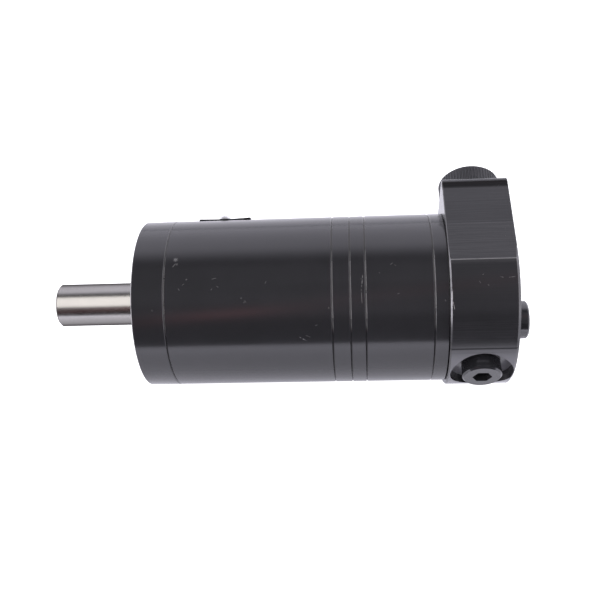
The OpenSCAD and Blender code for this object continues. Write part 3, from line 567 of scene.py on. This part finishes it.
def floor():
    """White table that ends half a metre in front of the motor, where the dark room begins. It glows: plain
    white to the camera, and to everything else brighter in front of the motor than behind it.
    """
    low = CAD_BOX[0][2]
    mesh = bpy.data.meshes.new("floor_sheet")
    front, back, side = -0.56, 4.0, 4.0
    corners = [(-side, front, 0), (side, front, 0), (side, back, 0), (-side, back, 0)]
    mesh.from_pydata(corners, [], [(0, 1, 2, 3)])
    obj = bpy.data.objects.new("floor_sheet", mesh)
    obj.location = (0, 0, low - 0.0002)
    bpy.context.scene.collection.objects.link(obj)
    mat, t, bsdf, coord = material("floor_white")
    tone = t.mix(t.noise(coord, 6, 2), (0.82, 0.82, 0.83), (0.85, 0.85, 0.86))
    seen = t.add("ShaderNodeLightPath").outputs["Is Camera Ray"]
    t.put(bsdf.inputs["Base Color"], tone)
    t.put(bsdf.inputs["Roughness"], 0.9)
    t.put(bsdf.inputs["Emission Color"], t.mix(seen, (0.96, 0.95, 1.10), (1.0, 1.0, 1.0)))
    # painted light: the floor glows, plain white to the camera and, for reflections and light on the motor,
    # brighter in front than behind
    reflected_glow = t.step(t.xyz(coord)[1], 0.02, -0.30, 0.52, 1.85)
    t.put(bsdf.inputs["Emission Strength"], t.mixf(seen, reflected_glow, 1.15))
    mesh.materials.append(mat)


def studio_world():
    """White sweep behind the object, dim room in front and overhead. The camera sees plain white."""
    world = bpy.data.worlds.new("studio")
    bpy.context.scene.world = world
    world.use_nodes = True
    t = Tree(world.node_tree)
    d = t.add("ShaderNodeTexCoord").outputs["Generated"]
    x, y, z = t.xyz(d)
    turn = t.math("MULTIPLY", t.math("ARCTAN2", z, t.math("MULTIPLY", y, -1.0)), 180 / math.pi)
    wall = t.step(turn, 112.0, 138.0)
    over = t.math("MULTIPLY", t.step(turn, 28.0, 46.0), t.step(turn, 112.0, 98.0))
    ends = t.step(t.math("ABSOLUTE", x), 0.72, 0.95)
    clutter = t.noise(d, 2.6, 2, 0.5)
    over = t.math("MULTIPLY", over, t.step(clutter, 0.35, 0.65, 0.14, 0.30))
    level = t.math("ADD", t.math("MULTIPLY", wall, 1.62), over)
    level = t.math("ADD", level, 0.05)
    level = t.mixf(ends, level, 1.15)
    # a warm object somewhere in the room gives the faint brown streak in the paint
    t0 = t.math("ADD", t.math("MULTIPLY", x, 108.0), 58.5)
    streak = bell(t, turn, t0, 6.0)
    brightest = t.math("MULTIPLY", bell(t, x, -0.165, 0.050), 1.15)
    streak = t.math("MULTIPLY", streak, t.math("ADD", brightest, 0.22))
    streak = t.math("MULTIPLY", streak, t.step(x, 0.50, 0.20))
    cold = t.add("ShaderNodeBackground", None, Color=(0.985, 0.965, 1.09), Strength=level)
    warm = t.add("ShaderNodeBackground", None, Color=(1.0, 0.30, 0.32), Strength=streak)
    studio = t.add("ShaderNodeAddShader", None, i0=cold, i1=warm)
    plain = t.add("ShaderNodeBackground", None, Color=(1.0, 1.0, 1.0), Strength=1.0)
    cam_ray = t.add("ShaderNodeLightPath").outputs["Is Camera Ray"]
    shader = t.add("ShaderNodeMixShader")
    t.t.links.new(cam_ray, shader.inputs[0])
    t.t.links.new(studio.outputs[0], shader.inputs[1])
    t.t.links.new(plain.outputs[0], shader.inputs[2])
    out = t.add("ShaderNodeOutputWorld")
    t.t.links.new(shader.outputs[0], out.inputs[0])


def soft_light(name, location, target, size_x, size_y, energy, colour=(1, 1, 1), glossy=True, only=None):
    """A rectangular area light that the camera can't see. only limits it to the listed objects."""
    data = bpy.data.lights.new(name, "AREA")
    data.shape = "RECTANGLE"
    data.size, data.size_y = size_x, size_y
    data.energy = energy
    data.color = colour
    obj = bpy.data.objects.new(name, data)
    bpy.context.scene.collection.objects.link(obj)
    obj.location = location
    obj.rotation_euler = (Vector(target) - Vector(location)).to_track_quat("-Z", "Y").to_euler()
    obj.visible_camera = False
    obj.visible_glossy = glossy
    if only:
        group = bpy.data.collections.new(name + "_only")
        for o in only:
            group.objects.link(o)
        obj.light_linking.receiver_collection = group


floor()
studio_world()
middle = sum((Vector(c) for c in CAD_BOX), Vector()) / 2
soft_light("overhead", (middle.x, -0.1, 1.2), middle, 1.6, 1.2, 9.0, glossy=False)
shaft_mid = Vector((-0.018, 0, 0))
strip_rise = math.radians(74)
strip_place = shaft_mid + Vector((0, -math.cos(strip_rise), math.sin(strip_rise))) * 0.6
soft_light("shaft_strip", strip_place, shaft_mid, 1.2, 0.60, 6.6, (1.0, 0.975, 0.96),
           only=[NODES["output_shaft"]])


def camera():
    """The photo's viewing angle: about 57 degrees up, on the side that faces away from the ports."""
    place = (0.078844, -0.166439, 0.260942)
    turned = [math.radians(a) for a in (32.5209, 4.2064, 1.0828)]
    data = bpy.data.cameras.new("camera")
    data.lens = 49.41
    data.sensor_width = 36
    data.clip_start = 0.01
    data.clip_end = 20
    obj = bpy.data.objects.new("camera", data)
    bpy.context.scene.collection.objects.link(obj)
    obj.location = place
    obj.rotation_euler = Euler(turned)
    bpy.context.scene.camera = obj


camera()
bpy.context.scene.view_settings.view_transform = "Standard"
bpy.context.scene.view_settings.look = "None"
